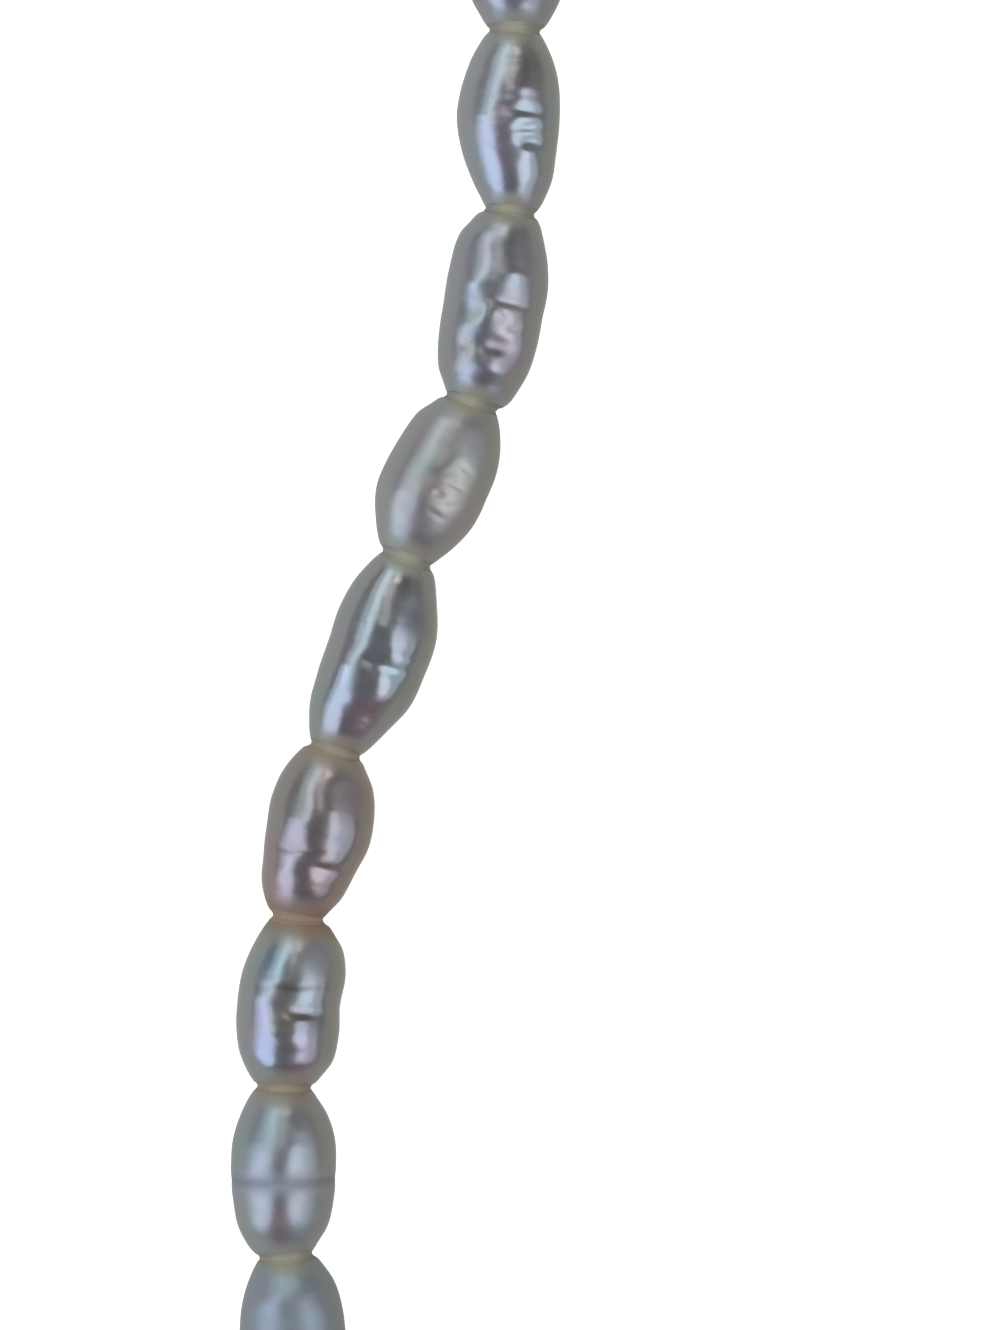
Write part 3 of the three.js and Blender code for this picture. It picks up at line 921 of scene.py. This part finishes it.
silk = bmesh.new()
for i, (knot, way) in enumerate(zip(knots, knot_ways)):
    after = rims[min(i, len(rims) - 1)][0 if i < len(rims) else 1]
    before = rims[i - 1][1] if i else after
    for part in (WRAPS, SPOOL_MESH):
        add_mesh(silk, fitted(part, ROLL_STEP * i, before, after), laid_at(knot, way))
for i, way in enumerate(ways):
    bmesh.ops.create_cone(
        silk,
        cap_ends=True,
        segments=THREAD_SIDES,
        radius1=THREAD_RADIUS * MM,
        radius2=THREAD_RADIUS * MM,
        depth=np.linalg.norm(knots[i + 1] - knots[i]),
        matrix=laid_at((knots[i] + knots[i + 1]) / 2, way) @ UPRIGHT,
    )
clasp_way = unit(knots[0] - knots[-1])
loop_turns = once_round(END_LOOP_STEPS)
loop_path = [(0, END_LOOP_RADIUS * math.cos(turn), END_LOOP_RADIUS * math.sin(turn)) for turn in loop_turns]
END_LOOP = cord_mesh("end_loop", loop_path, THREAD_RADIUS, closed=True)
for knot, towards in [(knots[-1], clasp_way), (knots[0], -clasp_way)]:
    centre = knot + (EYE_TO_KNOT - END_LOOP_RADIUS) * MM * towards
    add_mesh(silk, END_LOOP, laid_at(centre, clasp_way))
for face in silk.faces:
    face.smooth = True
silk_mesh = bpy.data.meshes.new("knotted_silk")
silk.to_mesh(silk_mesh)
silk.free()
print("silk triangles:", sum(len(face.vertices) - 2 for face in silk_mesh.polygons))

# %% How shaded and stained the silk is
# Each knot is painted greyer towards its sides, which is painted shade, and a few are stained brown, by their
# place in the strand.
# From how far and to how far off a knot's middle, in millimetres, the silk is painted grey towards its sides,
# as painted shade.
SIDE_SHADE_FROM = 0.3
SIDE_SHADE_TO = 0.9

silk_points = points_of(silk_mesh)
nearest = np.array([np.linalg.norm(silk_points - knot, axis=1) for knot in knots]).argmin(axis=0)
knot_sides = np.array([(way[1], -way[0], 0.0) for way in knot_ways])
off_side = np.abs(((silk_points - np.array(knots)[nearest]) * knot_sides[nearest]).sum(axis=1)) / MM
# The grey share at the knots' sides is painted shade.
shade_greyed = np.clip((off_side - SIDE_SHADE_FROM) / (SIDE_SHADE_TO - SIDE_SHADE_FROM), 0, 1)
stained = np.array([STAINED.get(i, 0.0) for i in range(len(knots))])[nearest]
silk_mesh.attributes.new("shade_greyed", "FLOAT", "POINT").data.foreach_set("value", shade_greyed)
silk_mesh.attributes.new("stained", "FLOAT", "POINT").data.foreach_set("value", stained)
print("share of the silk that is greyed through:", round(float((shade_greyed == 1).mean()), 2))

# %% [markdown]
# ## Silk's finish
# Bead silk is many fine filaments twisted into a cord. It shines only faintly. Its cream is greyed towards
# the sides of each knot as painted shade, and skin oil and dust stain it brown here and there. The strands
# are too fine to model, so slanting bands of bump stand for them, and a slow noise between two creams keeps
# the cord from looking like plastic.

# %% The silk material
SOIL_SIZE = 1.2
# The wave repeats every 0.363 of its unit across its bands, so this unit makes them about 0.22 mm apart.
# Real filaments are far finer, and are drawn this coarse so that they show.
STRAND_UNIT = 0.6


def silk_material():
    """Twisted bead silk, cream, greyed at the knots' sides as painted shade and stained brown in places:
    matt, with fine slanting strands.
    """
    material, tree, shader = new_material("twisted_silk")
    place = add_node(tree, "ShaderNodeTexCoord").outputs["Object"]
    shade_greyed = add_node(tree, "ShaderNodeAttribute", {"attribute_name": "shade_greyed"}).outputs["Fac"]
    stained = add_node(tree, "ShaderNodeAttribute", {"attribute_name": "stained"}).outputs["Fac"]
    soil = add_node(
        tree,
        "ShaderNodeTexNoise",
        inputs={"Vector": place, "Scale": PER_MM / SOIL_SIZE, "Detail": 3.0},
    )
    cream = add_node(tree, "ShaderNodeValToRGB", inputs={"Fac": soil.outputs["Fac"]})
    cream.color_ramp.elements[0].position, cream.color_ramp.elements[0].color = 0.3, linear("#b4ac90")
    cream.color_ramp.elements[1].position, cream.color_ramp.elements[1].color = 0.7, linear("#c1b99d")
    colour = cream.outputs["Color"]
    # The grey is painted shade at the knots' sides, and the brown is a stain.
    for amount, tone in [(shade_greyed, "#a19c8b"), (stained, "#b3947a")]:
        mixed = add_node(
            tree,
            "ShaderNodeMix",
            {"data_type": "RGBA"},
            {"Factor": amount, "A": colour, "B": linear(tone)},
        )
        colour = mixed.outputs["Result"]
    tree.links.new(colour, shader.inputs["Base Color"])
    strands = add_node(
        tree,
        "ShaderNodeTexWave",
        {"wave_type": "BANDS", "bands_direction": "DIAGONAL"},
        {"Vector": place, "Scale": PER_MM / STRAND_UNIT, "Distortion": 1.5, "Detail": 1.0},
    )
    bump = add_node(
        tree,
        "ShaderNodeBump",
        inputs={"Height": strands.outputs["Fac"], "Strength": 0.5, "Distance": BUMP_HEIGHT * MM},
    )
    tree.links.new(bump.outputs["Normal"], shader.inputs["Normal"])
    shader.inputs["Roughness"].default_value = 0.65
    return material


silk_mesh.materials.append(silk_material())
silk_piece = bpy.data.objects.new("knotted_silk", silk_mesh)
bpy.context.scene.collection.objects.link(silk_piece)
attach(silk_piece, "root")
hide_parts("silk_thread")
print("nodes in", silk_mesh.materials[0].name + ":", len(silk_mesh.materials[0].node_tree.nodes))

# %% [markdown]
# ## The clasp
# A plain box clasp of silver, with an eye at each end that the silk is tied to. Its solid has bevels of one
# step. The real one is pressed from sheet and tumbled smooth, so the box here starts as a cube, and its
# upright edges, then its level ones, get round bevels. One Bevel modifier rounds by one width unless each
# edge is weighted, and these edges want two widths.

# %% Making the clasp
CLASP_LENGTH = 9
CLASP_WIDTH = 5
CLASP_HEIGHT = 4
CLASP_CORNER = 1.2
CLASP_EDGE = 0.4
EYE_RADIUS = 1.0
EYE_WIRE = 0.3
EYE_OVERHANG = 0.9
LEVEL = 0.001 * MM  # an edge that climbs less than this is level


def climb(edge):
    """How far an edge climbs from one of its ends to the other."""
    return abs(edge.verts[0].co.z - edge.verts[1].co.z)


clasp = bmesh.new()
box_size = Matrix.Diagonal((CLASP_WIDTH, CLASP_LENGTH, CLASP_HEIGHT, 1))
on_table = Matrix.Translation((0, 0, CLASP_HEIGHT * MM / 2))
bmesh.ops.create_cube(clasp, size=MM, matrix=on_table @ box_size)
upright = [edge for edge in clasp.edges if climb(edge) > MM]
bmesh.ops.bevel(
    clasp, geom=upright, offset=CLASP_CORNER * MM, affect="EDGES", segments=10, profile=0.5, material=-1
)
level = [edge for edge in clasp.edges if climb(edge) < LEVEL]
bmesh.ops.bevel(
    clasp, geom=level, offset=CLASP_EDGE * MM, affect="EDGES", segments=5, profile=0.5, material=-1
)
for end in (-1, 1):
    middle = Vector((0, end * (CLASP_LENGTH / 2 + EYE_OVERHANG) * MM, BORE_HEIGHT))
    wire = bmesh.ops.create_circle(
        clasp,
        segments=16,
        radius=EYE_WIRE * MM,
        matrix=Matrix.Translation(middle + Vector((EYE_RADIUS * MM, 0, 0))) @ UPRIGHT,
    )["verts"]
    rim = list({edge for vert in wire for edge in vert.link_edges})
    bmesh.ops.spin(
        clasp, geom=wire + rim, cent=middle, axis=(0, 0, 1), angle=2 * math.pi, steps=48, use_merge=True
    )
bmesh.ops.remove_doubles(clasp, verts=clasp.verts, dist=SAME_POINT)
bmesh.ops.recalc_face_normals(clasp, faces=clasp.faces)
for face in clasp.faces:
    face.smooth = True
clasp_middle = (knots[0] + knots[-1]) / 2
clasp_middle[2] = 0
bmesh.ops.transform(clasp, matrix=laid_at(clasp_middle, clasp_way), verts=clasp.verts)
clasp_mesh = bpy.data.meshes.new("box_clasp")
clasp.to_mesh(clasp_mesh)
clasp.free()
print("clasp faces:", len(clasp_mesh.polygons))

# %% [markdown]
# ## Silver
# Sterling silver that is tumbled with steel shot comes out bright, with a haze of tiny dents instead of a
# mirror, and air soon turns its hollows a little yellow-grey. One soft noise does both: it shifts the
# colour between bright and tarnished silver, and the roughness with it.

# %% The silver
HAZE_SIZE = 2.0


def silver_material():
    """Tumbled silver: bright, with a soft haze and a little tarnish."""
    material, tree, shader = new_material("tumbled_silver")
    place = add_node(tree, "ShaderNodeTexCoord").outputs["Object"]
    haze = add_node(
        tree,
        "ShaderNodeTexNoise",
        inputs={"Vector": place, "Scale": PER_MM / HAZE_SIZE, "Detail": 4.0},
    )
    colour = add_node(tree, "ShaderNodeValToRGB", inputs={"Fac": haze.outputs["Fac"]})
    colour.color_ramp.elements[0].position, colour.color_ramp.elements[0].color = 0.35, linear("#b5b1a8")
    colour.color_ramp.elements[1].position, colour.color_ramp.elements[1].color = 0.65, linear("#d2d0cc")
    tree.links.new(colour.outputs["Color"], shader.inputs["Base Color"])
    rough = add_node(
        tree,
        "ShaderNodeMapRange",
        inputs={"Value": haze.outputs["Fac"], "To Min": 0.18, "To Max": 0.36},
    )
    tree.links.new(rough.outputs["Result"], shader.inputs["Roughness"])
    shader.inputs["Metallic"].default_value = 1.0
    return material


clasp_mesh.materials.append(silver_material())
clasp_piece = bpy.data.objects.new("box_clasp", clasp_mesh)
bpy.context.scene.collection.objects.link(clasp_piece)
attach(clasp_piece, "root")
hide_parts("clasp")
print("nodes in", clasp_mesh.materials[0].name + ":", len(clasp_mesh.materials[0].node_tree.nodes))

# %% [markdown]
# ## The table
# The choker lies on a pale matt board, which one flat face makes. Soft light alone would leave it grey, so
# it glows a little. Nacre would mirror that glow from below, so the board is kept out of reflections and of
# bounced light, and the pearls mirror the room's own floor instead.

# %% The table
TABLE_HALF = 1500  # half of a side of the board


def table_material():
    """Pale matt board."""
    material, tree, shader = new_material("pale_board")
    shader.inputs["Base Color"].default_value = linear("#f4f4f2")
    shader.inputs["Roughness"].default_value = 0.9
    shader.inputs["Specular IOR Level"].default_value = 0.1
    shader.inputs["Emission Color"].default_value = linear("#ffffff")
    shader.inputs["Emission Strength"].default_value = 0.8
    return material


board = bmesh.new()
bmesh.ops.create_grid(board, x_segments=1, y_segments=1, size=TABLE_HALF * MM)
board_mesh = bpy.data.meshes.new("table_top")
board.to_mesh(board_mesh)
board.free()
board_mesh.materials.append(table_material())
table = bpy.data.objects.new("table_top", board_mesh)
bpy.context.scene.collection.objects.link(table)
table.visible_glossy = False
table.visible_diffuse = False
print("table side in m:", 2 * TABLE_HALF * MM)

# %% [markdown]
# ## The camera
# A long lens high over the strand keeps the pearls' shapes true, where a wide one close by would bulge
# them. A new camera in Blender looks straight down, so it needs a place and no turn. The place is told from
# a knot, because knots are what one can point at on a strand.

# %% The camera
CAMERA_HEIGHT = 210
CAMERA_KNOT = 20  # the knot that the camera is placed from
CAMERA_RIGHT = 7.84
CAMERA_FAR = 4.09
LENS = 118.0
knot_ahead = knots[CAMERA_KNOT]
camera_data = bpy.data.cameras.new("camera")
camera_data.lens = LENS
camera = bpy.data.objects.new("camera", camera_data)
camera.location = (knot_ahead[0] + CAMERA_RIGHT * MM, knot_ahead[1] + CAMERA_FAR * MM, CAMERA_HEIGHT * MM)
bpy.context.scene.collection.objects.link(camera)
bpy.context.scene.camera = camera
print("camera over", round(camera.location.x / MM, 3), round(camera.location.y / MM, 3))

# %% [markdown]
# ## The light
# Nacre is a mirror as much as a colour, so what lights it also has to have a form: each pearl shows the
# windows of the room as long bright patches with a dark line between them. Area lights stand for the
# windows, because they light the strand softly and are seen in the skin as well. A window isn't one even
# white, so a smaller panel over a larger one gives it a brighter middle.

# %% The light panels
PANEL_DISTANCE = 600 * MM

# Where each panel stands as the strand sees it, in degrees: lean is from overhead towards +X, tilt from
# there towards +Y, and wide and high are what it covers. glow is its brightness. The strips on the left are
# also turned about their own middles, by STRIP_TURN.
BLUE = "#c6d5fb"
GREEN = "#cfe4ee"
PALE = "#dde9ff"
STRIP_TURN = -10
PANELS = {
    "left_window": {"lean": -57, "tilt": -20, "wide": 52, "high": 61, "colour": BLUE, "glow": 1.1},
    "left_window_sky": {"lean": -54, "tilt": -23, "wide": 36, "high": 52, "colour": BLUE, "glow": 1.0},
    "left_strip": {"lean": -36, "tilt": 36, "wide": 36, "high": 78, "colour": GREEN, "glow": 0.8},
    "left_strip_sky": {"lean": -31, "tilt": 36, "wide": 15, "high": 70, "colour": GREEN, "glow": 1.1},
    "right_window": {"lean": 45, "tilt": -16, "wide": 60, "high": 72, "colour": PALE, "glow": 0.8},
    "right_window_sky": {"lean": 35, "tilt": -14, "wide": 32, "high": 56, "colour": PALE, "glow": 1.1},
    "top_spot": {"lean": 15, "tilt": 55, "wide": 13, "high": 22, "colour": "#f0eee4", "glow": 1.8},
    "top_strip": {"lean": -2, "tilt": 32, "wide": 18, "high": 40, "colour": "#e4e6ee", "glow": 0.8},
}


def panel(name, row):
    """A soft panel that faces the strand."""
    data = bpy.data.lights.new(name, "AREA")
    data.shape = "ELLIPSE" if "window" in name else "RECTANGLE"
    data.size = 2 * PANEL_DISTANCE * math.tan(math.radians(row["wide"] / 2))
    data.size_y = 2 * PANEL_DISTANCE * math.tan(math.radians(row["high"] / 2))
    data.color = linear(row["colour"])[:3]
    filled = math.pi / 4 if data.shape == "ELLIPSE" else 1
    data.energy = row["glow"] * math.pi * data.size * data.size_y * filled
    light = bpy.data.objects.new(name, data)
    strand = Matrix.Translation((camera.location.x, camera.location.y, 0))
    lean = Matrix.Rotation(math.radians(row["lean"]), 4, "Y")
    tilt = Matrix.Rotation(math.radians(-row["tilt"]), 4, "X")
    turn = Matrix.Rotation(math.radians(STRIP_TURN if "left_strip" in name else 0), 4, "Z")
    light.matrix_world = strand @ lean @ tilt @ Matrix.Translation((0, 0, PANEL_DISTANCE)) @ turn
    light.visible_camera = False
    bpy.context.scene.collection.objects.link(light)


for name, row in PANELS.items():
    panel(name, row)
print("panels:", len(PANELS))

# %% [markdown]
# ## The room
# Between the windows the pearls mirror the rest of the room: grey-green at the table's level and below,
# dimmer above. The one who looks at the choker leans over it, as a darker figure with a lap below, and a
# lamp's dark shade hangs beyond. Modelled walls and people would do, but the world's background is enough,
# because only its tones are seen, bent small in each skin. Ramps by height and by side paint the walls, and
# soft-edged rectangles overhead paint the figures.

# %% The room
# Linear red, green, blue and alpha.
ROOM_FLOOR = (0.50, 0.51, 0.47, 1)
ROOM_WALL = (0.24, 0.24, 0.23, 1)
ROOM_CEILING = (0.15, 0.145, 0.14, 1)
LIT_FROM_LEFT = (1.04, 1.07, 1.12, 1)
LIT_FROM_RIGHT = (0.84, 0.80, 0.74, 1)
WALL_LEVEL = 0.12  # the heights of a way out into the room, from 0 at the horizon to 1 straight up
CEILING_LEVEL = 0.85
LEAST_LEVEL = 0.02  # near the horizon, this keeps a place in the plane overhead from growing without end

world = bpy.data.worlds.new("room")
bpy.context.scene.world = world
world.use_nodes = True
room = world.node_tree
way_out = add_node(room, "ShaderNodeTexCoord").outputs["Generated"]
direction = add_node(room, "ShaderNodeSeparateXYZ", inputs={"Vector": way_out})
height = direction.outputs["Z"]
by_height = add_node(room, "ShaderNodeValToRGB", inputs={"Fac": height})
by_height.color_ramp.elements[0].position = 0.0
by_height.color_ramp.elements[0].color = ROOM_FLOOR
by_height.color_ramp.elements[1].position = CEILING_LEVEL
by_height.color_ramp.elements[1].color = ROOM_CEILING
by_height.color_ramp.elements.new(WALL_LEVEL).color = ROOM_WALL
side = add_node(room, "ShaderNodeMapRange", inputs={"Value": direction.outputs["X"], "From Min": -1.0})
by_side = add_node(room, "ShaderNodeValToRGB", inputs={"Fac": side.outputs["Result"]})
by_side.color_ramp.elements[0].color = LIT_FROM_LEFT
by_side.color_ramp.elements[1].color = LIT_FROM_RIGHT
SHADED = {"data_type": "RGBA", "blend_type": "MULTIPLY"}
walls = add_node(
    room,
    "ShaderNodeMix",
    SHADED,
    {"Factor": 1.0, "A": by_height.outputs["Color"], "B": by_side.outputs["Color"]},
)
tone = walls.outputs["Result"]
print("nodes for the walls:", len(room.nodes))

# %% The figures overhead
# Dark shapes overhead, by their edges in the plane one unit above the strand: +X is right and +Y is far.
VIEWER = (0.62, 0.54, 0.56, 1)
LAP = (0.72, 0.42, 0.38, 1)
SHADE = (0.30, 0.28, 0.18, 1)
FIGURES = {
    "viewer": {"left": -0.55, "right": 0.10, "near": -3.00, "far": 0.15, "soft": 0.12, "tone": VIEWER},
    "lap": {"left": -1.30, "right": 1.30, "near": -9.00, "far": -1.25, "soft": 0.35, "tone": LAP},
    "shade": {"left": 0.22, "right": 1.20, "near": 0.42, "far": 1.30, "soft": 0.15, "tone": SHADE},
}

overhead = add_node(room, "ShaderNodeMath", {"operation": "MAXIMUM"}, {0: height, 1: LEAST_LEVEL})
places = {}
for axis in ("X", "Y"):
    place = {0: direction.outputs[axis], 1: overhead.outputs[0]}
    places[axis] = add_node(room, "ShaderNodeMath", {"operation": "DIVIDE"}, place).outputs[0]
for row in FIGURES.values():
    inside = []
    for axis, first, last in [("X", "left", "right"), ("Y", "near", "far")]:
        past = []
        for edge in (row[first], row[last]):
            soft_edge = add_node(
                room,
                "ShaderNodeMapRange",
                {"interpolation_type": "SMOOTHSTEP"},
                {"Value": places[axis], "From Min": edge - row["soft"], "From Max": edge + row["soft"]},
            )
            past.append(soft_edge.outputs["Result"])
        between = add_node(room, "ShaderNodeMath", {"operation": "SUBTRACT"}, {0: past[0], 1: past[1]})
        inside.append(between.outputs[0])
    covered = add_node(room, "ShaderNodeMath", {"operation": "MULTIPLY"}, {0: inside[0], 1: inside[1]})
    darker = {"Factor": covered.outputs[0], "A": tone, "B": row["tone"]}
    figure = add_node(room, "ShaderNodeMix", SHADED, darker)
    tone = figure.outputs["Result"]
room.links.new(tone, room.nodes["Background"].inputs["Color"])
bpy.context.scene.view_settings.view_transform = "Standard"
print("figures:", ", ".join(FIGURES))
